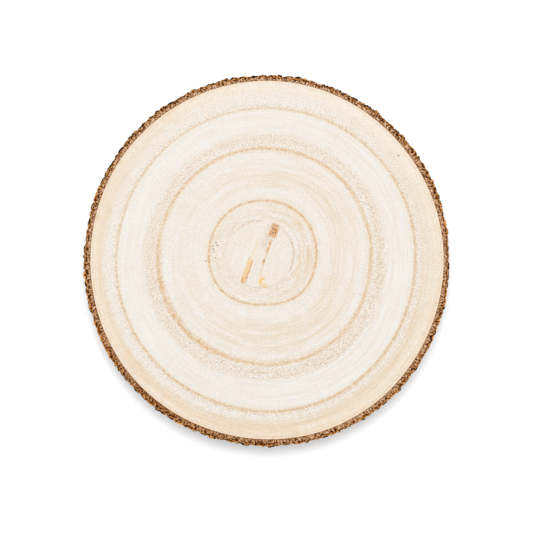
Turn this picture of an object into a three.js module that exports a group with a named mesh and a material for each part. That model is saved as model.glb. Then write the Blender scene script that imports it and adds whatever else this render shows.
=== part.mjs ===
// A round slice sawn across a log: pale ringed wood inside a rough bark, with a plug of
// straight-grained wood let into the hollow heart. Millimetres, +Z up, standing on Z = 0.
import * as THREE from "three";

// Driving dimensions of the slice. The bark's radius is that of its highest plates.
const THICKNESS = 20;
const BARK_RADIUS = 166.7;
const BARK_THICKNESS = 6.7;

// The trunk isn't quite round: it is drawn out along one line, and a little four-cornered.
const OVAL = 1.2;
const OVAL_ANGLE = THREE.MathUtils.degToRad(94);
const SQUARENESS = 0.35;
const SQUARE_ANGLE = THREE.MathUtils.degToRad(36);

// The plug in the heart, off the trunk's middle as the heart is
const PLUG_RADIUS = 30.5;
const PLUG_CENTRE = new THREE.Vector2(-6, 5.8);
const PLUG_JOINT = 0.2;
const PLUG_SIDES = 96;

// Bark plates: upright strips between fissures that sway, each broken by one crack across it
const PLATE_COUNT = 132;
const PLATE_JITTER = 0.62;
const PLATE_RELIEF = 1.9;
const PLATE_ROUNDING = 2.4;
const LOWEST_CREST = 0.3;
const CRACK_RISE = 0.25;
const FISSURE_SWAY = 1.3;
const FISSURE_WAVE = 34;

// The sawn edge of the bark: chipped back at its rim, and flat over the inner part
const EDGE_CHIP = 0.7;
const FLAT_SHARE = 0.55;

// How finely the bark is divided: across a plate, and up the slice
const PLATE_STEPS = 3;
const ROWS = 6;

const WOOD_FINISH = { color: 0xf2e7d8, roughness: 0.75, metalness: 0 };
const PLUG_FINISH = { color: 0xf0e4d3, roughness: 0.7, metalness: 0 };
const BARK_FINISH = { color: 0x84562f, roughness: 0.95, metalness: 0 };

// What each scattered number is drawn for, and the large factors that scatter it
const FOR = { place: 1, sway: 2, crack: 3, lowCrest: 4, highCrest: 5, chip: 6 };
const SEED_FACTOR = 12.9898;
const PURPOSE_FACTOR = 78.233;
const SPREAD = 43758.5453;

// A fixed number from 0 to 1 for each seed and purpose, scattered like a random draw.
function draw(seed, purpose) {
  const scattered = Math.sin(seed * SEED_FACTOR + purpose * PURPOSE_FACTOR) * SPREAD;
  return scattered - Math.floor(scattered);
}

// The bark's outermost radius at an angle, before its plates are cut into it.
function outline(angle) {
  const oval = OVAL * Math.cos(2 * (angle - OVAL_ANGLE));
  const square = SQUARENESS * Math.cos(4 * (angle - SQUARE_ANGLE));
  return BARK_RADIUS + oval + square;
}

function woodRadius(angle) {
  return outline(angle) - BARK_THICKNESS;
}

// Where the fissure before a plate runs, at a height: it sways as it climbs.
function fissureAngle(plate, height) {
  const seed = plate % PLATE_COUNT;
  const place = plate + PLATE_JITTER * (draw(seed, FOR.place) - 0.5);
  const phase = height / FISSURE_WAVE + draw(seed, FOR.sway);
  const sway = FISSURE_SWAY * Math.sin(2 * Math.PI * phase);
  return (2 * Math.PI * place) / PLATE_COUNT + sway / BARK_RADIUS;
}

// How high a plate stands, from 0 in its fissures to 1 at most, and low along its crack.
function plateRise(plate, across, row) {
  const crackRow = 1 + Math.floor(draw(plate, FOR.crack) * (ROWS - 1));
  if (row === crackRow) {
    return CRACK_RISE;
  }
  const height = draw(plate, row < crackRow ? FOR.lowCrest : FOR.highCrest);
  const crest = LOWEST_CREST + (1 - LOWEST_CREST) * height;
  return crest * (1 - Math.abs(2 * across - 1) ** PLATE_ROUNDING);
}

function polar(radius, angle, height) {
  return new THREE.Vector3(radius * Math.cos(angle), radius * Math.sin(angle), height);
}

// The bark's outside at one place on a plate, with its top and bottom edges chipped back.
function barkPoint(column, row) {
  const plate = Math.floor(column / PLATE_STEPS);
  const across = (column % PLATE_STEPS) / PLATE_STEPS;
  const level = (THICKNESS * row) / ROWS;
  const before = fissureAngle(plate, level);
  const after = fissureAngle(plate + 1, level);
  const angle = THREE.MathUtils.lerp(before, after, across);
  const radius = outline(angle) - PLATE_RELIEF * (1 - plateRise(plate, across, row));
  const chip = EDGE_CHIP * draw(column, FOR.chip);
  return polar(radius, angle, THREE.MathUtils.clamp(level, chip, THICKNESS - chip));
}

// The angle of each column of points, as it stands on the wall between wood and bark.
function columnAngles() {
  const columns = PLATE_COUNT * PLATE_STEPS;
  return Array.from({ length: columns }, (_, column) => (2 * Math.PI * column) / columns);
}

// One closed loop of points through the bark, upright along the trunk.
function barkSection(angle, column) {
  const inner = woodRadius(angle);
  const flat = inner + FLAT_SHARE * BARK_THICKNESS;
  const outside = Array.from({ length: ROWS + 1 }, (_, row) => barkPoint(column, row));
  return [
    polar(inner, angle, 0),
    polar(flat, angle, 0),
    ...outside,
    polar(flat, angle, THICKNESS),
    polar(inner, angle, THICKNESS),
  ];
}

// A closed ring through a row of like loops, each joined to the next and the last to the first.
function ringThrough(loops) {
  const perLoop = loops[0].length;
  const index = [];
  loops.forEach((_, i) => {
    const here = i * perLoop;
    const there = ((i + 1) % loops.length) * perLoop;
    for (let j = 0; j < perLoop; j++) {
      const up = (j + 1) % perLoop;
      index.push(here + j, there + j, there + up);
      index.push(here + j, there + up, here + up);
    }
  });
  const geometry = new THREE.BufferGeometry().setFromPoints(loops.flat());
  geometry.setIndex(index);
  geometry.computeVertexNormals();
  return geometry;
}

function barkGeometry() {
  return ringThrough(columnAngles().map(barkSection));
}

function pointAt(radius, angle) {
  return new THREE.Vector2(radius * Math.cos(angle), radius * Math.sin(angle));
}

// The wood fills the bark, with a round hole through its heart for the plug.
function woodGeometry() {
  const rim = columnAngles().map((angle) => pointAt(woodRadius(angle), angle));
  const hole = Array.from({ length: PLUG_SIDES }, (_, side) => {
    const angle = (-2 * Math.PI * side) / PLUG_SIDES;
    return pointAt(PLUG_RADIUS + PLUG_JOINT, angle).add(PLUG_CENTRE);
  });
  const shape = new THREE.Shape(rim);
  shape.holes.push(new THREE.Path(hole));
  return new THREE.ExtrudeGeometry(shape, { depth: THICKNESS, bevelEnabled: false });
}

function plugGeometry() {
  const geometry = new THREE.CylinderGeometry(PLUG_RADIUS, PLUG_RADIUS, THICKNESS, PLUG_SIDES);
  return geometry.rotateX(Math.PI / 2);
}

function piece(name, geometry, finish) {
  const mesh = new THREE.Mesh(geometry, new THREE.MeshStandardMaterial(finish));
  mesh.name = name;
  return mesh;
}

const slice = new THREE.Group();
slice.add(piece("wood_slice", woodGeometry(), WOOD_FINISH));
slice.add(piece("bark_ring", barkGeometry(), BARK_FINISH));

const plug = piece("heart_plug", plugGeometry(), PLUG_FINISH);
plug.position.set(PLUG_CENTRE.x, PLUG_CENTRE.y, THICKNESS / 2);
slice.add(plug);

export default slice;
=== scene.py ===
import math
from functools import partial, reduce

import bpy
import numpy as np
from mathutils import Color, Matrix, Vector, noise


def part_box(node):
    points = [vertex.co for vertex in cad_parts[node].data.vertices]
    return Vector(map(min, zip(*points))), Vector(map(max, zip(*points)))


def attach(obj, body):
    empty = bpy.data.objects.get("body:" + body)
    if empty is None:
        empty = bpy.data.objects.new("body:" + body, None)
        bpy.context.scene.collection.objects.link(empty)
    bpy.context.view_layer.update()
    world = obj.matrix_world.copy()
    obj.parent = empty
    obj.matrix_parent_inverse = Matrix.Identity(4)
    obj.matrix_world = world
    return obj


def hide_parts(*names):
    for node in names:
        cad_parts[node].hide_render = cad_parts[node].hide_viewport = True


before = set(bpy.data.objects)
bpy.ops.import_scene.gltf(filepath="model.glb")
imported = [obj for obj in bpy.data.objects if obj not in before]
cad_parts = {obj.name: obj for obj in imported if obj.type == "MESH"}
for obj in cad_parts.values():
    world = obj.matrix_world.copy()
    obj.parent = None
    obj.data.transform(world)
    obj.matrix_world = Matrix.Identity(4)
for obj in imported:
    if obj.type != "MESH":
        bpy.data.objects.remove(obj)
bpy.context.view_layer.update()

# A round slice sawn across a log, lying on a pale floor and seen from straight above.
# Sizes of the slice are in millimetres, and become metres when its meshes are made.
MM = 0.001
TURN = 2 * math.pi

# The trunk, as the solids have it
THICKNESS = (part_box("wood_slice")[1].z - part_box("wood_slice")[0].z) / MM
BARK_RADIUS = 166.7
BARK_THICKNESS = 6.7
OVAL = 1.2
OVAL_ANGLE = math.radians(94)
SQUARENESS = 0.35
SQUARE_ANGLE = math.radians(36)

# The plug and the hole that it lies in
PLUG_LOW, PLUG_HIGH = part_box("heart_plug")
PLUG_X, PLUG_Y = ((PLUG_LOW + PLUG_HIGH) / (2 * MM)).xy
PLUG_RADIUS = (PLUG_HIGH.x - PLUG_LOW.x) / (2 * MM)
PLUG_JOINT = 0.2

# Bark plates between fissures, as the solids have them
PLATE_COUNT = 132
PLATE_JITTER = 0.62
PLATE_RELIEF = 1.9
PLATE_ROUNDING = 4.0
LOWEST_CREST = 0.3
CRACK_RISE = 0.25
CRACK_LEVELS = 6
FISSURE_SWAY = 1.3
FISSURE_WAVE = 34
EDGE_CHIP = 0.7
CHIPS_PER_PLATE = 3
FLAT_SHARE = 0.55

# The growth rings: mean radius, then waves round the trunk as (order, size, angle in degrees)
RINGS = (
    (48.0, ((1, 7.6, 118), (2, 0.7, -12), (3, 0.7, -116), (4, 0.6, 168))),
    (96.9, ((1, 4.1, 114), (2, 0.6, 171), (3, 0.55, -149), (4, 0.55, 144))),
    (135.7, ((1, 0.95, 123), (2, 0.95, 164), (3, 0.4, 177), (4, 0.4, 109))),
)
# The wood swells into the bark here and there, and thins it, by waves of the same kind
SWELLING = (0.13, ((1, 0.26, 86), (2, 0.12, -81), (3, 0.20, -93), (4, 0.25, -15), (5, 0.25, 32)))
# Growth counts the years: rings lie at whole numbers, the bark at the last, the hole at the first
GROWTH_KNOTS = (0.62, 1, 2, 3, 4)
LAST_GROWTH = GROWTH_KNOTS[-1]

# What each scattered number is drawn for, and the large factors that scatter it
FOR_PLACE, FOR_SWAY, FOR_CRACK, FOR_LOW_CREST, FOR_HIGH_CREST, FOR_CHIP = range(1, 7)
FOR_SPLIT, FOR_ROUND, FOR_SPOT_ANGLE, FOR_SPOT_DEPTH = range(7, 11)
FOR_SPOT_LENGTH, FOR_SPOT_LEAN, FOR_SPOT_STRENGTH, FOR_GAPE = range(11, 15)
SEED_FACTOR = 12.9898
PURPOSE_FACTOR = 78.233
SPREAD = 43758.5453


def draw(seed, purpose):
    """A fixed number from 0 to 1 for each seed and purpose, scattered like a random draw."""
    scattered = np.sin(np.asarray(seed) * SEED_FACTOR + purpose * PURPOSE_FACTOR) * SPREAD
    return scattered - np.floor(scattered)


def smooth(low, high, value):
    """0 below low, 1 above high, and an even rise between them."""
    share = np.clip((value - low) / (high - low), 0, 1)
    return share * share * (3 - 2 * share)


def zone(value, begins, ends):
    """1 between two soft borders, each a low and a high value, and 0 outside them."""
    return smooth(*begins, value) * (1 - smooth(*ends, value))


def bell(value):
    """1 at 0, falling evenly to both sides."""
    return np.exp(-(value**2))


def towards(angle, degrees, narrow=1):
    """1 on the side of the trunk at that angle, falling to 0 on the other side."""
    return ((1 + np.cos(angle - math.radians(degrees))) / 2) ** narrow


def on_sides(angle, sides):
    """The sum of several sides, each with its strength, its angle in degrees and how narrow it is."""
    return sum(strength * towards(angle, degrees, narrow) for strength, degrees, narrow in sides)


def outline(angle):
    oval = OVAL * np.cos(2 * (angle - OVAL_ANGLE))
    square = SQUARENESS * np.cos(4 * (angle - SQUARE_ANGLE))
    return BARK_RADIUS + oval + square


def waved(ring, angle):
    mean, waves = ring
    return mean + sum(size * np.cos(n * angle - math.radians(at)) for n, size, at in waves)


def wood_radius(angle):
    return outline(angle) - BARK_THICKNESS + waved(SWELLING, angle)


def hole_radius(angle):
    """The hole's edge as seen from the trunk's middle, which lies inside it."""
    along = PLUG_X * np.cos(angle) + PLUG_Y * np.sin(angle)
    across = PLUG_X**2 + PLUG_Y**2 - along**2
    return along + np.sqrt((PLUG_RADIUS + PLUG_JOINT) ** 2 - across)


def growth_radius(growth, angle):
    """Radius of each growth line (rows) at each angle (columns)."""
    rings = [waved(ring, angle) for ring in RINGS]
    curves = np.stack([hole_radius(angle), *rings, wood_radius(angle)])
    place = np.interp(growth, GROWTH_KNOTS, np.arange(len(GROWTH_KNOTS)))
    inner = np.minimum(place.astype(int), len(GROWTH_KNOTS) - 2)
    share = (place - inner)[:, None]
    return curves[inner] * (1 - share) + curves[inner + 1] * share


# Meshes

# The map that a bake paints through
MAP_NAME = "OFBake"
MAP_STRIPS = 6
MAP_MARGIN = 0.02
# Faces that meet more sharply than this show an edge
SHARP_ANGLE = math.radians(50)
# How much each octave of the rough noise loses, and how much finer it is
FRACTAL_LOSS = 1.0
FRACTAL_STEP = 2.0


def round_points(radius, angle, height):
    return np.stack(np.broadcast_arrays(radius * np.cos(angle), radius * np.sin(angle), height), -1)


def loops_closed(rows, columns):
    """Quads of a ring: columns run round the trunk, rows round its section, and both close."""
    row = np.arange(rows)[:, None]
    column = np.arange(columns)[None, :]
    next_row = (row + 1) % rows * columns
    next_column = (column + 1) % columns
    row = row * columns
    corners = (row + column, next_row + column, next_row + next_column, row + next_column)
    return np.stack(corners, -1).reshape(-1, 4).tolist()


def fractal(points, cell, octaves, shift=0.0):
    """Rough noise about 0 at each point, with its largest lumps a cell wide."""
    moved = points / cell + shift
    values = [noise.fractal(Vector(p), FRACTAL_LOSS, FRACTAL_STEP, octaves) for p in moved.reshape(-1, 3)]
    return np.reshape(values, moved.shape[:-1])


def strip_map(lengths, columns):
    """Map places of a closed ring's corners: its section runs up, and the way round is cut into strips."""
    strip, step = np.divmod(np.arange(columns), columns // MAP_STRIPS)
    inside = 1 - 2 * MAP_MARGIN
    right = 1 - MAP_MARGIN - inside * step * MAP_STRIPS / columns
    left = right - inside * MAP_STRIPS / columns
    heights = MAP_MARGIN + inside * lengths / lengths[-1]
    low = (strip + heights[:-1, None]) / MAP_STRIPS
    high = (strip + heights[1:, None]) / MAP_STRIPS
    sideways = np.broadcast_to(np.stack([right, right, left, left], -1), (*low.shape, 4))
    return np.stack([sideways, np.stack([low, high, high, low], -1)], -1)


def add_piece(name, points, faces, attributes, material, places=None):
    """A mesh piece from points in millimetres, with numbers and vectors stored on them."""
    mesh = bpy.data.meshes.new(name)
    mesh.from_pydata((points * MM).tolist(), [], faces)
    for key, values in attributes.items():
        values = np.asarray(values, dtype=np.float32)
        kind, field = ("FLOAT", "value") if values.ndim == 1 else ("FLOAT_VECTOR", "vector")
        mesh.attributes.new(key, kind, "POINT").data.foreach_set(field, values.ravel())
    if places is not None:
        mesh.uv_layers.new(name=MAP_NAME).uv.foreach_set("vector", places.astype(np.float32).ravel())
    mesh.shade_smooth()
    mesh.set_sharp_from_angle(angle=SHARP_ANGLE)
    mesh.materials.append(material)
    piece = bpy.data.objects.new(name, mesh)
    bpy.context.scene.collection.objects.link(piece)
    return piece


def stands_for(piece, node):
    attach(piece, "root")
    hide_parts(node)


# Materials

# Nearly all of a noise lies in this range
NOISE_RANGE = (0.3, 0.7)
# A colour mix's sockets go by number, because other kinds of mix share their names
MIX_INPUTS = (0, 6, 7)
MIX_OUTPUT = 2


class Nodes:
    """A material's node tree, built one node at a time."""

    def __init__(self, name):
        self.material = bpy.data.materials.new(name)
        self.material.use_nodes = True
        self.tree = self.material.node_tree
        self.tree.nodes.clear()
        self.shader = self.add("ShaderNodeBsdfPrincipled")
        output = self.add("ShaderNodeOutputMaterial")
        self.tree.links.new(self.shader.outputs["BSDF"], output.inputs["Surface"])

    def add(self, kind, inputs=None, **settings):
        node = self.tree.nodes.new(kind)
        for key, value in settings.items():
            setattr(node, key, value)
        for key, value in (inputs or {}).items():
            self.put(node.inputs[key], value)
        return node

    def put(self, socket, value):
        if isinstance(value, bpy.types.NodeSocket):
            self.tree.links.new(value, socket)
        else:
            socket.default_value = value

    def surface(self, **inputs):
        for key, value in inputs.items():
            self.put(self.shader.inputs[key.replace("_", " ")], value)

    def number(self, name):
        return self.add("ShaderNodeAttribute", attribute_name=name).outputs["Fac"]

    def vector(self, name):
        return self.add("ShaderNodeAttribute", attribute_name=name).outputs["Vector"]

    def parts(self, vector):
        return self.add("ShaderNodeSeparateXYZ", {"Vector": vector}).outputs

    def math(self, operation, *values):
        node = self.add("ShaderNodeMath", operation=operation)
        for socket, value in zip(node.inputs, values):
            self.put(socket, value)
        return node.outputs["Value"]

    def total(self, *values):
        return reduce(partial(self.math, "ADD"), values)

    def product(self, *values):
        return reduce(partial(self.math, "MULTIPLY"), values)

    def scaled(self, vector, amount):
        return self.add("ShaderNodeVectorMath", {0: vector, "Scale": amount}, operation="SCALE").outputs[0]

    def noise(self, vector, stretch, detail=2.0, roughness=0.5):
        """Noise by place, with its lumps narrowed by one stretch or by one along each axis."""
        stretch = stretch if isinstance(stretch, tuple) else (stretch, stretch, stretch)
        finer = self.add("ShaderNodeVectorMath", {0: vector, 1: stretch}, operation="MULTIPLY")
        inputs = {"Vector": finer.outputs[0], "Scale": 1.0, "Detail": detail, "Roughness": roughness}
        return self.add("ShaderNodeTexNoise", inputs).outputs["Fac"]

    def remap(self, value, low, high, to_low=0.0, to_high=1.0):
        inputs = {"Value": value, "From Min": low, "From Max": high, "To Min": to_low, "To Max": to_high}
        return self.add("ShaderNodeMapRange", inputs).outputs["Result"]

    def spread(self, value, low, high):
        """A noise brought to the range from low to high."""
        return self.remap(value, *NOISE_RANGE, low, high)

    def swing(self, value, size):
        """A noise brought to that size on both sides of 0."""
        return self.spread(value, -size, size)

    def ramp(self, value, stops):
        """Colours or greys by place along 0 to 1."""
        node = self.add("ShaderNodeValToRGB", {"Fac": value})
        elements = node.color_ramp.elements
        while len(elements) < len(stops):
            elements.new(1.0)
        for element, (place, colour) in zip(elements, stops):
            element.position = place
            element.color = (*colour, 1) if isinstance(colour, tuple) else (colour, colour, colour, 1)
        return node.outputs["Color"]

    def mix(self, share, first, second):
        node = self.add("ShaderNodeMix", data_type="RGBA")
        for place, value in zip(MIX_INPUTS, (share, first, second)):
            self.put(node.inputs[place], value if not isinstance(value, tuple) else (*value, 1))
        return node.outputs[MIX_OUTPUT]

    def bump(self, height, depth):
        inputs = {"Height": height, "Strength": 1.0, "Distance": depth * MM}
        self.surface(Normal=self.add("ShaderNodeBump", inputs).outputs["Normal"])


# Light on an upward face, so that a colour seen in the picture can be turned into the surface's own
LIGHT_LEVEL = 1.645
WHITE = 255


def seen(red, green, blue):
    """The surface colour that shows as this picture colour, 0 to 255, under the studio light."""
    picture = Color((red / WHITE, green / WHITE, blue / WHITE))
    return tuple(c / LIGHT_LEVEL for c in picture.from_srgb_to_scene_linear())


# The sawn wood

PALE_WOOD = np.array(seen(247, 243, 238))
STAIN_TINT = np.array((0.18, 0.52, 1.0))
CAMBIUM = seen(250, 238, 216)
SPECK = seen(130, 94, 64)
PORE = seen(204, 146, 92)


def stained(amount):
    """Pale wood darkened by that much of the stain, which takes most from the blue."""
    return tuple(float(c) for c in PALE_WOOD * np.exp(-amount * STAIN_TINT))


STAIN_RANGE = 2.0
STAIN_STEPS = (0.0, 0.25, 0.5, 0.75, 1.0, 1.5, STAIN_RANGE)
STAIN_STOPS = [(amount / STAIN_RANGE, stained(amount)) for amount in STAIN_STEPS]

# Stain by growth: each ring has a sharp inner edge and a tail outwards
GROWTH_STAIN = (
    (0.62, 0.15), (0.93, 0.16), (0.968, 0.22), (0.986, 0.55), (0.995, 1.09), (1.004, 1.09), (1.016, 0.50),
    (1.036, 0.20), (1.09, 0.14), (1.16, 0.10), (1.88, 0.10), (1.93, 0.13), (1.97, 0.30), (1.985, 0.56),
    (2.005, 0.70), (2.03, 0.48), (2.055, 0.22), (2.09, 0.10), (2.20, 0.13), (2.34, 0.12), (2.45, 0.07),
    (2.85, 0.07), (2.94, 0.13), (2.975, 0.34), (2.993, 0.76), (3.015, 0.60), (3.05, 0.32), (3.10, 0.15),
    (3.20, 0.11), (3.86, 0.15), (3.95, 0.30), (4.00, 0.34),
)
# Warmer sapwood under the bark, with a ragged inner edge
SAP_BY_GROWTH = (
    (3.24, 0.0), (3.40, 0.95), (3.50, 1.0), (3.60, 0.92), (3.72, 0.72), (3.84, 0.62), (3.92, 0.85),
    (4.0, 0.9),
)
# Fainter lines between the rings, which show only on the side of the trunk that they are named for
UPPER_LINES = (
    (0.62, 0.02), (0.70, 0.02), (0.73, 0.30), (0.77, 0.03), (0.83, 0.05), (0.86, 0.32), (0.89, 0.03),
    (1.22, 0.00), (1.255, 0.06), (1.28, 0.18), (1.31, 0.06), (1.35, 0.20), (1.385, 0.08), (1.41, 0.18),
    (1.44, 0.08), (1.475, 0.15), (1.49, 0.28), (1.525, 0.06), (1.56, 0.04), (1.585, 0.20), (1.615, 0.03),
    (1.75, 0.04), (2.17, 0.00), (2.20, 0.16), (2.22, 0.03), (2.245, 0.20), (2.27, 0.03), (4.00, 0.00),
)
LOWER_LINES = (
    (0.62, 0.00), (1.20, 0.00), (1.32, 0.04), (1.355, 0.15), (1.39, 0.06), (1.425, 0.28), (1.45, 0.08),
    (1.475, 0.15), (1.495, 0.08), (1.52, 0.26), (1.55, 0.04), (1.59, 0.16), (1.62, 0.02), (1.655, 0.12),
    (1.685, 0.04), (1.72, 0.24), (1.76, 0.08), (1.80, 0.12), (1.84, 0.03), (1.92, 0.00), (4.00, 0.00),
)
# Strength of the sandy grain and of the dark pores, by growth
GRAIN_BY_GROWTH = (
    (0.62, 0.05), (0.95, 0.05), (1.08, 0.05), (1.90, 0.05), (2.00, 0.07), (2.10, 0.075), (2.34, 0.075),
    (2.45, 0.033), (2.85, 0.033), (2.97, 0.06), (3.01, 0.09), (3.12, 0.09), (3.20, 0.08), (3.60, 0.05),
)
PORES_BY_GROWTH = (
    (0.62, 0.18), (0.95, 0.12), (1.02, 0.0), (1.5, 0.03), (1.90, 0.06), (1.96, 0.2), (2.04, 0.2),
    (2.12, 0.42), (2.28, 0.40), (2.40, 0.03), (2.95, 0.0), (3.00, 0.42), (3.08, 0.40), (3.20, 0.2),
    (3.38, 0.1), (3.5, 0.04),
)
# Growth over which kinds of wood begin, or begin and end
HEART_ENDS = (0.93, 1.0)
MIDDLE_WOOD = ((1.12, 1.3), (1.7, 1.88))
SECOND_RING = ((1.90, 1.94), (2.05, 2.09))
POROUS_WOOD = ((2.05, 2.14), (2.26, 2.42))
BETWEEN_RINGS = ((1.12, 1.32), (2.85, 2.95))
THIRD_RING = ((2.90, 2.95), (3.06, 3.12))
SAPWOOD_BEGINS = (3.2, 3.4)
LEFT_RIM_BEGINS = (3.52, 3.66)
TOP_RIM_BEGINS = (3.5, 3.62)
LIFT_BEGINS = (3.5, 3.75)
CAMBIUM_BEGINS = (3.962, 3.978)
# What shows on which sides: strength, angle in degrees, and how narrowly it keeps to that side
LEFT_RIM = ((0.1, 142, 6),)
TOP_RIM = ((0.03, 95, 2),)
HEART_WARMTH = ((0.05, 0, 3), (0.06, 166, 20))
POROUS_WARMTH = ((0.03, 0, 0), (0.05, 345, 3), (0.04, 170, 4))
SAP_SIDES = ((0.31, 258, 1), (0.06, 12, 6))
FAINT_BANDS = ((0.4, 170, 2),)
FAINT_RING = ((0.3, 110, 3),)
UPPER_HEART = ((1, 18, 3),)
UPPER_SIDE = ((1, 62, 3),)
LOWER_SIDE = ((1, 292, 2),)
PORE_SIDES = ((0.7, 0, 0), (0.3, 300, 1))
# The second ring is thicker where it nears this angle, in degrees
THICK_ANGLE = 207
THICK_NEAR = (0.86, 0.97)
THICKENING = 0.5
MIDDLE_WARMTH = 0.03
RIM_LIFT = 0.045
# Bands show most in the heart and between the rings, and dashes in the sapwood
LEAST_BANDS = 0.4
BANDS_BETWEEN = 0.6
SAPWOOD_LOSS = 0.15
LEAST_DASHES = 0.2
SAND_RANGE = (-2.0, 2.0)
# The sapwood reaches further in on this side
SAP_SHIFT = 0.13
SAP_SHIFT_ANGLE = math.radians(20)

# Dark specks in the wood: place and radius in millimetres
SPECKS = (
    (118.5, 94.7, 0.9), (-45.7, 16.2, 0.8), (-44.5, 14.0, 0.9), (-48.7, 13.2, 0.8), (-48.2, 10.3, 1.0),
    (-47.7, 8.0, 0.8), (-46.4, 2.7, 0.7), (-54.7, -0.3, 0.8), (-30.9, 29.4, 0.5), (-29.5, 31.5, 0.5),
    (-27.7, 33.7, 0.5),
)
SPECK_CORE = 0.4
SPECK_EDGE = 1.2
SPECK_STRENGTH = 0.8
CAMBIUM_STRENGTH = 0.7

# Columns round the slice, and rows of points in each year of growth
WOOD_COLUMNS = 640
TOP_ROWS = (16, 38, 32, 18)
UNDER_ROWS = (6, 14, 12, 8)
# Brings the radius to about the size of the other two numbers that place the noise
POLAR_SCALE = 100


def by_growth(table, growth):
    return np.interp(growth, *zip(*table))


def wood_fields(growth, angle):
    """Slow changes over the sawn face: how warm it is, and how strongly each kind of line shows."""
    in_heart = 1 - smooth(*HEART_ENDS, growth)
    sapwood = smooth(*SAPWOOD_BEGINS, growth)
    left_rim = smooth(*LEFT_RIM_BEGINS, growth) * on_sides(angle, LEFT_RIM)
    top_rim = smooth(*TOP_RIM_BEGINS, growth) * on_sides(angle, TOP_RIM)
    heart = in_heart * on_sides(angle, HEART_WARMTH)
    middle = MIDDLE_WARMTH * zone(growth, *MIDDLE_WOOD)
    porous = zone(growth, *POROUS_WOOD) * on_sides(angle, POROUS_WARMTH)
    bands = LEAST_BANDS + BANDS_BETWEEN * zone(growth, *BETWEEN_RINGS) + in_heart - SAPWOOD_LOSS * sapwood
    return {
        "warm": left_rim + top_rim + heart + middle + porous,
        "sap": on_sides(angle, SAP_SIDES),
        "sap_place": (growth + SAP_SHIFT * np.cos(angle - SAP_SHIFT_ANGLE)) / LAST_GROWTH,
        "thick": THICKENING * zone(growth, *SECOND_RING) * smooth(*THICK_NEAR, towards(angle, THICK_ANGLE)),
        "bands": bands * (1 - on_sides(angle, FAINT_BANDS)),
        "upper": in_heart * on_sides(angle, UPPER_HEART) + (1 - in_heart) * on_sides(angle, UPPER_SIDE),
        "lower": on_sides(angle, LOWER_SIDE),
        "pores": by_growth(PORES_BY_GROWTH, growth) * on_sides(angle, PORE_SIDES),
        "grain": by_growth(GRAIN_BY_GROWTH, growth),
        "dashes": LEAST_DASHES + (1 - LEAST_DASHES) * sapwood,
        "sapwood": sapwood,
        "strength": 1 - zone(growth, *THIRD_RING) * on_sides(angle, FAINT_RING),
        "lift": RIM_LIFT * smooth(*LIFT_BEGINS, growth),
    }


def growth_rows(counts):
    years = zip(GROWTH_KNOTS, GROWTH_KNOTS[1:], counts)
    rows = [np.linspace(first, last, count, endpoint=False) for first, last, count in years]
    return np.concatenate([*rows, [LAST_GROWTH]])


def build_wood():
    """The sawn wood: a flat ring from the plug's hole to the bark, with its rings as growth lines."""
    top = growth_rows(TOP_ROWS)
    under = growth_rows(UNDER_ROWS)[::-1]
    growth = np.concatenate([top, under])
    angle = np.arange(WOOD_COLUMNS) * TURN / WOOD_COLUMNS
    radius = growth_radius(growth, angle)
    height = np.concatenate([np.full(len(top), THICKNESS), np.zeros(len(under))])
    growths, angles = np.broadcast_arrays(growth[:, None], angle)
    attributes = {
        "polar": round_points(1, angle, radius / POLAR_SCALE).reshape(-1, 3),
        "layers": round_points(1, angle, growths).reshape(-1, 3),
    }
    attributes.update({key: values.ravel() for key, values in wood_fields(growths, angles).items()})
    points = round_points(radius, angle, height[:, None]).reshape(-1, 3)
    piece = add_piece("sawn_wood", points, loops_closed(*radius.shape), attributes, wood_material())
    stands_for(piece, "wood_slice")


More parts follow.
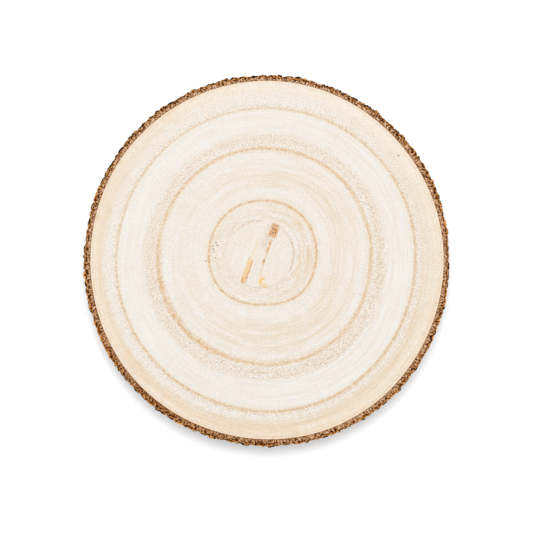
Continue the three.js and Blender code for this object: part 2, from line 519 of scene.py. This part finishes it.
def wood_material():
    n = Nodes("sawn_wood")
    polar = n.vector("polar")
    layers = n.vector("layers")
    growth = n.parts(layers)["Z"]
    sawn_at = n.add("ShaderNodeTexCoord").outputs["Object"]
    slow = n.swing(n.noise(layers, (2.2, 2.2, 1.5)), 0.016)
    quick = n.swing(n.noise(sawn_at, 650), 0.009)
    wavered = n.math("DIVIDE", n.total(growth, slow, quick), LAST_GROWTH)
    steady = n.math("DIVIDE", n.total(growth, quick), LAST_GROWTH)

    def lines(place, table):
        return n.ramp(place, [(at / LAST_GROWTH, amount) for at, amount in table])

    uneven = n.spread(n.noise(sawn_at, 420, roughness=0.6), 0.45, 1.55)
    rings = n.product(lines(steady, GROWTH_STAIN), uneven, n.number("strength"))
    clumps = n.remap(n.noise(sawn_at, 480, roughness=0.6), 0.42, 0.6)
    thick = n.product(clumps, n.number("thick"))
    broken = n.remap(n.noise(polar, (1.5, 1.5, 10)), 0.35, 0.65, 0.2, 1.3)
    upper = n.product(lines(wavered, UPPER_LINES), n.number("upper"), broken)
    lower = n.product(lines(wavered, LOWER_LINES), n.number("lower"), broken)
    broad = n.swing(n.noise(layers, (1.6, 1.6, 14), detail=1), 0.06)
    narrow = n.swing(n.noise(layers, (3.2, 3.2, 46)), 0.13)
    banding = n.product(n.total(broad, narrow), n.number("bands"))
    teeth = n.swing(n.noise(polar, (75, 75, 5)), 0.02)
    streaks = n.spread(n.noise(layers, (2.5, 2.5, 14)), 0.4, 1.6)
    sap_edge = lines(n.total(n.number("sap_place"), teeth), SAP_BY_GROWTH)
    sap = n.product(sap_edge, n.number("sap"), streaks)
    rays = n.swing(n.noise(polar, (120, 120, 6)), 0.05)
    cloud = n.swing(n.noise(polar, (5, 5, 6), detail=3), 0.03)
    dashes = n.product(n.swing(n.noise(layers, (9, 9, 40)), 0.07), n.number("dashes"))
    blotches = n.remap(n.noise(polar, (13, 13, 11)), 0.60, 0.74, 0.0, 0.16)
    blotches = n.product(blotches, n.number("sapwood"))
    warm = n.number("warm")
    stain = n.total(rings, thick, upper, lower, banding, sap, dashes, blotches, rays, cloud, warm)
    colour = n.ramp(n.math("DIVIDE", stain, STAIN_RANGE), STAIN_STOPS)
    dots = n.remap(n.noise(sawn_at, 640, detail=1), 0.50, 0.64)
    pores = n.product(dots, n.number("pores"))
    colour = n.mix(pores, colour, PORE)
    for x, y, radius in SPECKS:
        middle = (x * MM, y * MM, THICKNESS * MM)
        away = n.add("ShaderNodeVectorMath", {0: sawn_at, 1: middle}, operation="DISTANCE").outputs["Value"]
        core, edge = SPECK_CORE * radius * MM, SPECK_EDGE * radius * MM
        colour = n.mix(n.remap(away, core, edge, SPECK_STRENGTH, 0.0), colour, SPECK)
    colour = n.mix(n.remap(growth, *CAMBIUM_BEGINS, 0.0, CAMBIUM_STRENGTH), colour, CAMBIUM)
    sand = n.remap(n.noise(sawn_at, 1000, roughness=0.6), 0.35, 0.65, *SAND_RANGE)
    shade = n.total(n.product(sand, n.number("grain")), n.number("lift"), 1.0)
    roughness = n.remap(sand, *SAND_RANGE, 0.66, 0.82)
    n.surface(Base_Color=n.scaled(colour, shade), Roughness=roughness, Specular_IOR_Level=0.25)
    n.bump(n.product(n.total(pores, rays), -1.0), 0.25)
    return n.material


# The plug

# Its grain runs this way in the picture, and its marks lie along it
GRAIN_ANGLE = math.radians(70)
PLUG_COLUMNS = 192
PLUG_ROWS = 30
PLUG_CHAMFER = 0.06
SHUT_CHAMFER = 0.06
PLUG_SEAM = 0.015
# Where the joint shows: middle and half width of each arc, in degrees, and its strength
OPEN_JOINTS = ((112, 27, 0.7), (8, 40, 0.7), (5, 12, 0.3), (266, 18, 0.35))
JOINT_SOFTNESS = 9
JOINT_FADE = 0.45
# Each mark's middle across and along the grain, its half size (millimetres), strength and colour
MARKS = (
    ((-9.5, -1.0), (1.6, 17.0), 0.6, seen(249, 244, 234)),
    ((-6.0, 1.0), (1.6, 11.0), 0.5, seen(246, 222, 184)),
    ((0.5, 17.0), (3.4, 12.0), 0.6, seen(226, 204, 180)),
    ((-2.2, 12.0), (1.2, 16.0), 0.4, seen(248, 240, 226)),
    ((4.6, 25.0), (3.7, 6.8), 0.95, seen(229, 163, 92)),
    ((5.1, 9.5), (1.1, 6.5), 0.9, seen(222, 168, 108)),
    ((5.3, -0.5), (0.8, 3.5), 0.6, seen(228, 192, 150)),
    ((5.2, -5.5), (1.1, 2.2), 0.9, seen(204, 152, 86)),
    ((6.3, -13.0), (0.9, 5.5), 0.5, seen(228, 194, 154)),
    ((-6.1, -18.5), (2.5, 11.4), 0.95, seen(236, 184, 124)),
    ((-6.6, -17.5), (1.7, 9.6), 0.9, seen(251, 220, 164)),
    ((-4.3, -17.0), (0.7, 8.5), 0.7, seen(226, 168, 112)),
    ((-7.2, -27.5), (1.3, 2.6), 0.9, seen(236, 172, 100)),
    ((9.2, -21.3), (1.9, 3.6), 0.9, seen(250, 208, 128)),
    ((11.8, -24.8), (3.2, 1.9), 0.9, seen(248, 204, 122)),
    ((11.0, -22.6), (1.1, 1.4), 0.8, seen(252, 246, 232)),
)
# The brown mark is crossed by darker hatching, and the joint shows as a broken brown line
HATCHED = ((4.8, 25.4), (2.8, 5.6))
HATCH_COLOUR = seen(140, 72, 26)
JOINT_COLOUR = seen(210, 164, 112)


def joint_opening(angle):
    """How far the joint stands open at each angle round the plug."""
    opening = 0
    for at, half, strength in OPEN_JOINTS:
        shut = math.cos(math.radians(half + JOINT_SOFTNESS))
        wide = math.cos(math.radians(half - JOINT_SOFTNESS))
        opening = opening + strength * smooth(shut, wide, np.cos(angle - math.radians(at)))
    return opening


def build_plug():
    """The plug: a disc a hair smaller than its hole, with its grain across it."""
    angle = np.arange(PLUG_COLUMNS) * TURN / PLUG_COLUMNS
    opening = joint_opening(angle)
    chamfer = PLUG_CHAMFER * (SHUT_CHAMFER + (1 - SHUT_CHAMFER) * opening)
    edge = np.full(PLUG_COLUMNS, PLUG_RADIUS + PLUG_JOINT - PLUG_SEAM)
    shares = np.linspace(0, 1, PLUG_ROWS)[1:]
    face = [edge * share - chamfer * (share == 1) for share in shares]
    radius = np.stack([*face, edge, edge, *face[::-1]])
    flat = np.zeros((len(face), PLUG_COLUMNS))
    levels = np.concatenate([flat + THICKNESS, [THICKNESS - chamfer, chamfer], flat])
    rows, columns = radius.shape
    centres = [[0, 0, THICKNESS], [0, 0, 0]]
    local = np.concatenate([round_points(radius, angle, levels).reshape(-1, 3), centres])

    faces = loops_closed(rows, columns)[:-columns]
    top, under = rows * columns, rows * columns + 1
    last = (rows - 1) * columns
    for i in range(columns):
        after = (i + 1) % columns
        faces.append([top, i, after])
        faces.append([under, last + after, last + i])

    along = local[:, :2] @ (math.cos(GRAIN_ANGLE), math.sin(GRAIN_ANGLE))
    sideways = local[:, :2] @ (math.sin(GRAIN_ANGLE), -math.cos(GRAIN_ANGLE))
    joint = np.zeros(radius.shape)
    joint[len(face) - 2] = JOINT_FADE * opening
    joint[len(face) - 1 : len(face) + 1] = opening
    attributes = {
        "grain": np.stack([sideways, along, local[:, 2]], -1),
        "joint": np.concatenate([joint.ravel(), np.zeros(len(centres))]),
    }
    points = local + (PLUG_X, PLUG_Y, 0)
    piece = add_piece("grained_plug", points, faces, attributes, plug_material())
    stands_for(piece, "heart_plug")


def plug_material():
    n = Nodes("plug_wood")
    grain = n.vector("grain")
    streaks = n.spread(n.noise(grain, (0.9, 0.05, 0.3), detail=3), 0.05, 0.27)
    fibres = n.spread(n.noise(grain, (2.2, 0.10, 0.3)), -0.05, 0.06)
    mottle = n.spread(n.noise(grain, (0.5, 0.35, 0.3), detail=3), -0.09, 0.07)
    stain = n.total(streaks, fibres, mottle)
    colour = n.ramp(n.math("DIVIDE", stain, STAIN_RANGE), STAIN_STOPS)
    sideways, along, _ = n.parts(grain)
    bend = n.swing(n.noise(grain, (0.25, 0.08, 0.1)), 0.5)
    ragged = n.swing(n.noise(grain, (1.4, 0.6, 0.5)), 0.3)
    sideways = n.total(sideways, bend)

    def inside(middle, half):
        near_side = n.math("DIVIDE", n.math("SUBTRACT", sideways, middle[0]), half[0])
        near_end = n.math("DIVIDE", n.math("SUBTRACT", along, middle[1]), half[1])
        nearest = n.math("MAXIMUM", n.math("ABSOLUTE", near_side), n.math("ABSOLUTE", near_end))
        return n.remap(n.total(nearest, ragged), 0.88, 1.1, 1.0, 0.0)

    blotches = n.remap(n.noise(grain, (0.7, 0.35, 0.5), detail=1), 0.4, 0.6, 0.55, 1.0)
    for middle, half, strength, mark_colour in MARKS:
        colour = n.mix(n.product(inside(middle, half), blotches, strength), colour, mark_colour)
    hatch = n.remap(n.noise(grain, (0.9, 0.6, 0.5), detail=1), 0.52, 0.62, 0.0, 0.85)
    colour = n.mix(n.product(inside(*HATCHED), hatch), colour, HATCH_COLOUR)
    gaps = n.remap(n.noise(grain, (0.45, 0.45, 0.5)), 0.38, 0.55)
    colour = n.mix(n.product(n.number("joint"), gaps), colour, JOINT_COLOUR)
    sand = n.remap(n.noise(grain, (1.2, 0.5, 0.5), roughness=0.6), 0.35, 0.65, 0.95, 1.05)
    roughness = n.remap(streaks, 0.05, 0.27, 0.6, 0.75)
    n.surface(Base_Color=n.scaled(colour, sand), Roughness=roughness, Specular_IOR_Level=0.25)
    n.bump(n.product(n.total(fibres, streaks), -1.0), 0.2)
    return n.material


# The bark, far more finely divided than its solid

FINE_STEPS = 14
BARK_COLUMNS = PLATE_COUNT * FINE_STEPS
WALL_ROWS = 36
# Rows across the sawn faces, from 0 at the wood to 1 at the outside
TOP_DEPTHS = (0.0, 0.06, 0.15, 0.24, 0.33, 0.42, 0.49, FLAT_SHARE, 0.63, 0.72, 0.81, 0.91)
UNDER_DEPTHS = (0.91, FLAT_SHARE, 0.3, 0.0)
# Room on the map for the bark's side against the wood, which never shows
HIDDEN_SIDE = 2.0
# The outside stands past its solid, in long swells with small upright lumps on them
PROUD = 0.55
SWELL_HEIGHT = 0.85
SWELL_LENGTH = 9.0
LUMP_SIZE = 2.6
LUMP_RISE = 0.36
UPRIGHT = 0.4
RISE_LIMITS = (-0.2, 1.15)
# Each plate has a crack across it, a split along it, and edges rounded by its own share
CRACK_TILT = 4.0
CRACK_RAGGED = 1.4
CRACK_WIDTH = 0.9
CRACK_STEP = 0.4
CRACK_GAPES = (0.15, 0.6)
FISSURE_RAGGED = 0.3
LEAST_ROUNDING = 0.5
ROUNDING_SPAN = 0.6
SPLIT_DEPTH = 0.3
SPLIT_WIDTH = 0.06
SPLIT_FIRST = 0.3
SPLIT_SPAN = 0.4
SPLIT_SWAY = 0.08
SPLIT_WAVE = 2.1
# Thin upright furrows wander over the plates, in patches
FURROW_SIZE = 5.5
FURROW_STRETCH = 0.28
FURROW_DEPTH = 0.6
FURROW_WIDTH = 0.22
FURROW_WANDER = 4.0
FURROW_PATCH = 11.0
FURROW_WHERE = (-0.25, 0.15)
# Near the sawn edges the relief is part filled, and some plates have broken rounded caps
EDGE_FILL = 0.15
EDGE_RISE = 0.5
CAP_HEIGHT = 2.4
CAP_INSET = 1.15
CAP_PLATES = (0.2, 0.45)
CAP_LENGTH = 5.0
CAP_WHOLE = 0.95
CAP_BROKEN = 2.2
CAP_MOST = 1.5
CAP_SIDES = ((0.95, 0, 0), (0.65, 125, 2))
CAP_STANDS = (0.0, 0.5)
CAP_COLOUR_FROM = 0.35
CAP_COLOUR_MOST = 1.3
CAP_COLOUR_FADES = (0.7, CAP_HEIGHT + 0.3)
SKIN_BEGINS = (0.0, 0.45)
# Colours go by the rise, with part of what a plate's crest differs from the mean taken off
MEAN_CREST = 0.65
CREST_EVENED = 0.5
# The sawn bark is paler on one side and darker on another, most near the wood and most in its blue
SHADE_SIDES = ((0.06, 82, 12), (-0.2, 232, 10))
SHADE_TINT = (1.2, 1.85, 2.7)
# Spots on the sawn bark: how many, first seed, range of depth, and range of length in millimetres
PITS = (560, 1000, (0.40, 0.90), (0.5, 1.6))
FLECKS = (380, 5000, (0.10, 0.66), (0.5, 1.4))
SPOT_JITTER = 0.9
# Powers of a spot's draws, which make most spots deep and most of them short
SPOT_DEEPER = 0.6
SPOT_SHORTER = 2
# A spot's width goes by its length, and its strength from the weakest to 1
SPOT_LEAST_WIDTH = 0.3
SPOT_WIDTH_SHARE = 0.35
SPOT_WEAKEST = 0.45
SPOT_RAGGED = 0.7
# Relief of the sawn bark, which begins a little way from the wood
PIT_DEPTH = 1.1
FLECK_HEIGHT = 0.1
CUT_RELIEF = 0.25
CUT_LUMP_SIZE = 1.6
CUT_FOLD_SIZE = 2.2
RELIEF_BEGINS = (0.0, 0.12)
# These shifts keep noises of the same kind apart
WANDER_SHIFT, FURROW_SHIFT, PATCH_SHIFT, SWELL_SHIFT, FOLD_SHIFT, CAP_SHIFT = 1.7, 2.1, 5.3, 7.3, 3.7, 4.1


def fissure_angle(plate, height):
    seed = plate % PLATE_COUNT
    place = plate + PLATE_JITTER * (draw(seed, FOR_PLACE) - 0.5)
    phase = height / FISSURE_WAVE + draw(seed, FOR_SWAY)
    return TURN * place / PLATE_COUNT + FISSURE_SWAY * np.sin(TURN * phase) / BARK_RADIUS


def plate_rise(plate, across, height, ragged):
    """How high a plate stands, from 0 in its fissures to 1 at most, and how high its crest is."""
    crack_row = 1 + np.floor(draw(plate, FOR_CRACK) * (CRACK_LEVELS - 1))
    tilt = CRACK_TILT * (draw(plate, FOR_SPLIT) - 0.5) * (2 * across - 1)
    crack = crack_row * THICKNESS / CRACK_LEVELS + tilt + CRACK_RAGGED * ragged
    upper = smooth(-CRACK_STEP, CRACK_STEP, height - crack)
    level = draw(plate, FOR_LOW_CREST) * (1 - upper) + draw(plate, FOR_HIGH_CREST) * upper
    crest = LOWEST_CREST + (1 - LOWEST_CREST) * level
    from_middle = np.clip(np.abs(2 * across - 1) + FISSURE_RAGGED * ragged, 0, 1)
    rounding = PLATE_ROUNDING * (LEAST_ROUNDING + ROUNDING_SPAN * draw(plate, FOR_SPLIT))
    rise = crest * (1 - from_middle**rounding)
    gape = smooth(*CRACK_GAPES, draw(plate, FOR_GAPE)) * bell((height - crack) / CRACK_WIDTH)
    split_at = SPLIT_FIRST + SPLIT_SPAN * draw(plate, FOR_SPLIT)
    split_at = split_at + SPLIT_SWAY * np.sin(height / SPLIT_WAVE + plate)
    split = SPLIT_DEPTH * bell((across - split_at) / SPLIT_WIDTH)
    return rise * (1 - split) * (1 - gape) + CRACK_RISE * rise * gape, crest


def furrows(ground):
    """1 in the middle of the thin upright cracks that wander over the plates, 0 between them."""
    tall = ground * (1, 1, FURROW_STRETCH)
    place = tall + fractal(tall, FURROW_WANDER, 2, WANDER_SHIFT)[..., None]
    lines = 1 - smooth(0.0, FURROW_WIDTH, np.abs(fractal(place, FURROW_SIZE, 3, FURROW_SHIFT)))
    return lines * smooth(*FURROW_WHERE, fractal(tall, FURROW_PATCH, 2, PATCH_SHIFT))


def spots(kind, along, outwards):
    """1 in the middle of each of many small ragged spots round the sawn bark, 0 between them."""
    count, first, (shallow, deep), (short, long) = kind
    found = np.zeros(along.shape)
    for seed in range(first, first + count):
        place = (seed - first + SPOT_JITTER * (draw(seed, FOR_SPOT_ANGLE) - 0.5)) / count
        aside = (np.mod(along / BARK_RADIUS - TURN * place + math.pi, TURN) - math.pi) * BARK_RADIUS
        depth = shallow + (deep - shallow) * draw(seed, FOR_SPOT_DEPTH) ** SPOT_DEEPER
        away = outwards - BARK_THICKNESS * depth
        lean = math.pi * draw(seed, FOR_SPOT_LEAN)
        length = short + (long - short) * draw(seed, FOR_SPOT_LENGTH) ** SPOT_SHORTER
        width = SPOT_LEAST_WIDTH + SPOT_WIDTH_SHARE * length
        lengthwise = (aside * math.cos(lean) + away * math.sin(lean)) / length
        crosswise = (away * math.cos(lean) - aside * math.sin(lean)) / width
        strength = SPOT_WEAKEST + (1 - SPOT_WEAKEST) * draw(seed, FOR_SPOT_STRENGTH)
        found = np.maximum(found, strength * bell(lengthwise) * bell(crosswise))
    return found


def cut_face(depths, edge, level, down):
    """Rows of points across the bark's sawn face towards its edge, with its pits and its flecks."""
    depth = np.array(depths)[:, None]
    even = np.arange(BARK_COLUMNS) * TURN / BARK_COLUMNS
    inner = wood_radius(even)
    flat = outline(even) - (1 - FLAT_SHARE) * BARK_THICKNESS
    edge_angle = even + np.mod(np.arctan2(edge[:, 1], edge[:, 0]) - even + math.pi, TURN) - math.pi
    edge_radius = np.hypot(edge[:, 0], edge[:, 1])
    sloping = np.maximum(0, (depth - FLAT_SHARE) / (1 - FLAT_SHARE))
    level_share = np.minimum(depth, FLAT_SHARE) / FLAT_SHARE
    angle = even * (1 - sloping) + edge_angle * sloping
    radius = inner * (1 - level_share) + flat * level_share
    radius = radius * (1 - sloping) + edge_radius * sloping
    rows = round_points(radius, angle, level * (1 - sloping) + edge[:, 2] * sloping)
    lumps = fractal(rows, CUT_LUMP_SIZE, 3)
    folds = fractal(rows, CUT_FOLD_SIZE, 2, FOLD_SHIFT)
    along = BARK_RADIUS * angle + SPOT_RAGGED * lumps
    outwards = BARK_THICKNESS * depth + SPOT_RAGGED * folds
    pits = spots(PITS, along, outwards)
    flecks = spots(FLECKS, along, outwards)
    relief = PIT_DEPTH * pits - FLECK_HEIGHT * flecks + CUT_RELIEF * lumps
    rows[..., 2] += down * smooth(*RELIEF_BEGINS, depth) * relief
    return rows, pits, flecks


def bark_wall():
    """The bark's outside as rows of points from the top down, their levels, and what colours them."""
    column = np.arange(BARK_COLUMNS)
    plate = (column // FINE_STEPS)[None, :]
    across = (column % FINE_STEPS / FINE_STEPS)[None, :]
    level = THICKNESS * (1 + np.cos(np.linspace(0, math.pi, WALL_ROWS)))[:, None] / 2
    before = fissure_angle(plate, level)
    angle = before + (fissure_angle(plate + 1, level) - before) * across
    ground = round_points(BARK_RADIUS, angle, level)
    lumps = fractal(ground * (1, 1, UPRIGHT), LUMP_SIZE, 4)
    swells = fractal(ground, SWELL_LENGTH, 2, SWELL_SHIFT)
    stands, crest = plate_rise(plate, across, level, lumps)
    rise = np.clip(stands + LUMP_RISE * lumps - FURROW_DEPTH * furrows(ground) * stands, *RISE_LIMITS)
    tone = rise + CREST_EVENED * (MEAN_CREST - crest)
    from_edge = np.minimum(level, THICKNESS - level)
    rise = rise + EDGE_FILL * (1 - smooth(0.0, CAP_HEIGHT, from_edge)) * (EDGE_RISE - rise)
    whole = np.clip(CAP_WHOLE + CAP_BROKEN * fractal(ground, CAP_LENGTH, 2, CAP_SHIFT), 0, CAP_MOST)
    rounded = smooth(*CAP_PLATES, draw(plate, FOR_ROUND)) * whole * on_sides(angle, CAP_SIDES)
    inset = CAP_INSET * rounded * np.clip(1 - from_edge / CAP_HEIGHT, 0, 1) ** 2 * smooth(*CAP_STANDS, rise)
    radius = outline(angle) + PROUD + SWELL_HEIGHT * swells - PLATE_RELIEF * (1 - rise) - inset
    chip = EDGE_CHIP * draw(np.floor(column * CHIPS_PER_PLATE / FINE_STEPS), FOR_CHIP)[None, :]
    wall = round_points(radius, angle, np.clip(level, chip, THICKNESS - chip))
    cap = np.clip(CAP_COLOUR_FROM + rounded, 0, CAP_COLOUR_MOST)
    cap = cap * (1 - smooth(*CAP_COLOUR_FADES, from_edge))
    return wall, level, {"rise": tone, "skin": smooth(*SKIN_BEGINS, from_edge), "cap": cap}


def build_bark():
    """The bark: its sawn top, its rough outside and its underside, closed along the wood."""
    wall, level, outside = bark_wall()
    top, top_pits, top_flecks = cut_face(TOP_DEPTHS, wall[0], THICKNESS, -1)
    under, under_pits, under_flecks = cut_face(UNDER_DEPTHS, wall[-1], 0.0, 1)
    under[..., 2] = np.maximum(under[..., 2], 0)
    points = np.concatenate([top, wall, under])
    top_depth, under_depth = np.array(TOP_DEPTHS)[:, None], np.array(UNDER_DEPTHS)[:, None]
    over_wall = BARK_THICKNESS + THICKNESS - level
    over_under = THICKNESS + BARK_THICKNESS * (2 - under_depth)
    lengths = np.concatenate([BARK_THICKNESS * top_depth, over_wall, over_under])
    numbers = {
        "depth": (top_depth, 1.0, under_depth),
        "skin": (0.0, outside["skin"], 0.0),
        "cap": (1.0, outside["cap"], 1.0),
        "rise": (EDGE_RISE, outside["rise"], EDGE_RISE),
        "pit": (top_pits, 0.0, under_pits),
        "fleck": (top_flecks, 0.0, under_flecks),
    }
    attributes = {}
    for key, parts in numbers.items():
        spread = [np.broadcast_to(part, rows.shape[:2]) for part, rows in zip(parts, (top, wall, under))]
        attributes[key] = np.concatenate(spread).ravel()
    around = np.arctan2(points[..., 1], points[..., 0])
    attributes["shade"] = on_sides(around, SHADE_SIDES).ravel()
    attributes["unrolled"] = round_points(BARK_RADIUS, around, lengths).reshape(-1, 3)
    faces = loops_closed(*points.shape[:2])
    places = strip_map(np.append(lengths, lengths[-1] + HIDDEN_SIDE), BARK_COLUMNS)
    piece = add_piece("rough_bark", points.reshape(-1, 3), faces, attributes, bark_material(), places)
    stands_for(piece, "bark_ring")


# The sawn bark's colours by depth, and the outside's by rise
CUT_STOPS = (
    (0.0, seen(146, 90, 50)),
    (0.07, seen(176, 120, 74)),
    (0.22, seen(198, 144, 98)),
    (0.45, seen(186, 124, 72)),
    (0.64, seen(196, 124, 54)),
    (0.78, seen(230, 148, 62)),
    (0.88, seen(255, 186, 92)),
    (1.0, seen(240, 156, 58)),
)
# The outside is darkest low in its fissures, partly its own colour and partly painted shade, and paler and
# greyer on its crests
SKIN_STOPS = (
    (0.0, seen(40, 26, 17)),
    (0.14, seen(78, 50, 30)),
    (0.3, seen(112, 76, 48)),
    (0.5, seen(106, 78, 56)),
    (0.75, seen(120, 96, 74)),
    (1.0, seen(142, 120, 98)),
)
CAP_STOPS = (
    (0.0, seen(118, 68, 28)),
    (0.16, seen(124, 72, 30)),
    (0.28, seen(56, 33, 17)),
    (0.5, seen(28, 17, 11)),
    (1.0, seen(40, 27, 18)),
)
# The pits' middles are near black, painted shade in their hollows, and their brown rims are partly the
# bark's own colour and partly painted shade
PIT_SHADE = seen(22, 6, 1)
PIT_RIM = seen(124, 64, 20)
# Pale fibres, a colour also used for the painted highlights on the raised flecks
PALE_FIBRE_AND_HIGHLIGHT = seen(250, 216, 180)
DARK_FIBRE = seen(76, 30, 2)


def sawn_bark_colour(n, coarse, mottle, ragged):
    """Colours by depth, with dark and pale fibres, pale flecks partly as painted highlights, pits with
    brown rims and near-black middles as painted shade, and the shade.
    """
    depth = n.total(n.number("depth"), n.swing(coarse, 0.07))
    colour = n.ramp(depth, CUT_STOPS)
    middle = n.product(n.remap(depth, 0.05, 0.30, 0.45, 1.0), n.remap(depth, 0.84, 0.94, 1.0, 0.4))
    dark = n.product(n.remap(mottle, 0.52, 0.58), middle)
    colour = n.mix(dark, colour, DARK_FIBRE)
    pale = n.product(n.remap(mottle, 0.47, 0.40, 0.0, 0.9), middle, n.remap(depth, 0.3, 0.75, 1.0, 0.45))
    colour = n.mix(pale, colour, PALE_FIBRE_AND_HIGHLIGHT)
    # Raised flecks are painted pale, partly the bark's pale fibres and partly painted highlights
    colour = n.mix(n.product(n.number("fleck"), 0.75), colour, PALE_FIBRE_AND_HIGHLIGHT)
    pit = n.total(n.number("pit"), ragged, n.remap(depth, 0.9, 1.0, 0.0, -0.25))
    # Pits get brown rims and near-black middles, painted shade in the hollows
    colour = n.mix(n.remap(pit, 0.04, 0.24, 0.0, 0.85), colour, PIT_RIM)
    colour = n.mix(n.remap(pit, 0.2, 0.44), colour, PIT_SHADE)
    shade = n.product(n.number("shade"), n.remap(depth, 0.35, 0.65, 1.0, 0.3))
    inputs = {0: n.scaled(SHADE_TINT, shade), 1: colour, 2: colour}
    return n.add("ShaderNodeVectorMath", inputs, operation="MULTIPLY_ADD").outputs[0]


def bark_material():
    n = Nodes("bark")
    place = n.vector("unrolled")
    coarse = n.noise(place, (0.35, 0.35, 0.2), detail=3, roughness=0.6)
    fine = n.noise(place, (1.1, 1.1, 0.6), detail=3, roughness=0.65)
    mottle = n.noise(place, (0.8, 0.8, 0.5), detail=1, roughness=0.6)
    fibre = n.noise(place, (1.5, 1.5, 0.18), detail=3, roughness=0.6)
    grit = n.spread(n.noise(place, (2.2, 2.2, 0.6), detail=3, roughness=0.7), 0.6, 1.4)
    ragged = n.swing(fine, 0.25)
    sawn = sawn_bark_colour(n, coarse, mottle, ragged)
    rise = n.total(n.number("rise"), ragged, n.swing(fibre, 0.3))
    cap = n.remap(n.total(n.number("cap"), n.spread(coarse, -0.5, 0.3)), 0.2, 0.8)
    # The outside darkens into its fissures, partly as painted shade
    skin = n.scaled(n.mix(cap, n.ramp(rise, SKIN_STOPS), n.ramp(rise, CAP_STOPS)), grit)
    outside = n.remap(n.total(n.number("skin"), ragged), 0.3, 0.6)
    roughness = n.spread(fine, 0.85, 1.0)
    n.surface(Base_Color=n.mix(outside, sawn, skin), Roughness=roughness, Specular_IOR_Level=0.03)
    n.bump(n.total(fine, coarse, fibre, n.product(grit, outside)), 0.5)
    return n.material


# The studio, in metres

FLOOR_SIDE = 6
FLOOR_DROP = 0.0002
FLOOR_GREYS = ((0.3, 0.895), (0.7, 0.905))


def build_floor():
    bpy.ops.mesh.primitive_plane_add(size=FLOOR_SIDE, location=(0, 0, -FLOOR_DROP))
    floor = bpy.context.object
    floor.name = "floor"
    n = Nodes("floor")
    cloud = n.noise(n.add("ShaderNodeTexCoord").outputs["Object"], 3)
    n.surface(Base_Color=n.ramp(cloud, FLOOR_GREYS), Roughness=0.9)
    floor.data.materials.append(n.material)


# The picture: millimetres to a pixel on the sawn face, its side, and the slice's middle in pixels
PIXEL = 0.9
PICTURE_SIDE = 533
SLICE_AT = (266.8, 260.7)
LENS = 100.0


def build_camera():
    data = bpy.data.cameras.new("camera")
    data.lens = LENS
    camera = bpy.data.objects.new("camera", data)
    bpy.context.scene.collection.objects.link(camera)
    bpy.context.scene.camera = camera
    middle = PICTURE_SIDE / 2
    distance = PICTURE_SIDE * PIXEL * LENS / data.sensor_width
    aside = (middle - SLICE_AT[0]) * PIXEL
    above = (SLICE_AT[1] - middle) * PIXEL
    camera.location = Vector((aside, above, THICKNESS + distance)) * MM


# An even sky, and a large soft key light from the picture's upper side
SKY_STRENGTH = 1.1
KEY_POWER = 243.0
KEY_SIZE = 4.95
KEY_PLACE = Vector((0.0, 3.471, 4.137))


def build_light():
    scene = bpy.context.scene
    world = bpy.data.worlds.new("studio")
    world.use_nodes = True
    background = world.node_tree.nodes["Background"]
    background.inputs["Color"].default_value = (1, 1, 1, 1)
    background.inputs["Strength"].default_value = SKY_STRENGTH
    scene.world = world
    data = bpy.data.lights.new("key", "AREA")
    data.energy = KEY_POWER
    data.size = KEY_SIZE
    key = bpy.data.objects.new("key", data)
    key.location = KEY_PLACE
    key.rotation_mode = "QUATERNION"
    key.rotation_quaternion = (-KEY_PLACE).to_track_quat("-Z", "Y")
    scene.collection.objects.link(key)
    scene.view_settings.view_transform = "Standard"
    scene.view_settings.look = "None"


build_camera()
build_light()
build_floor()
build_wood()
build_plug()
build_bark()
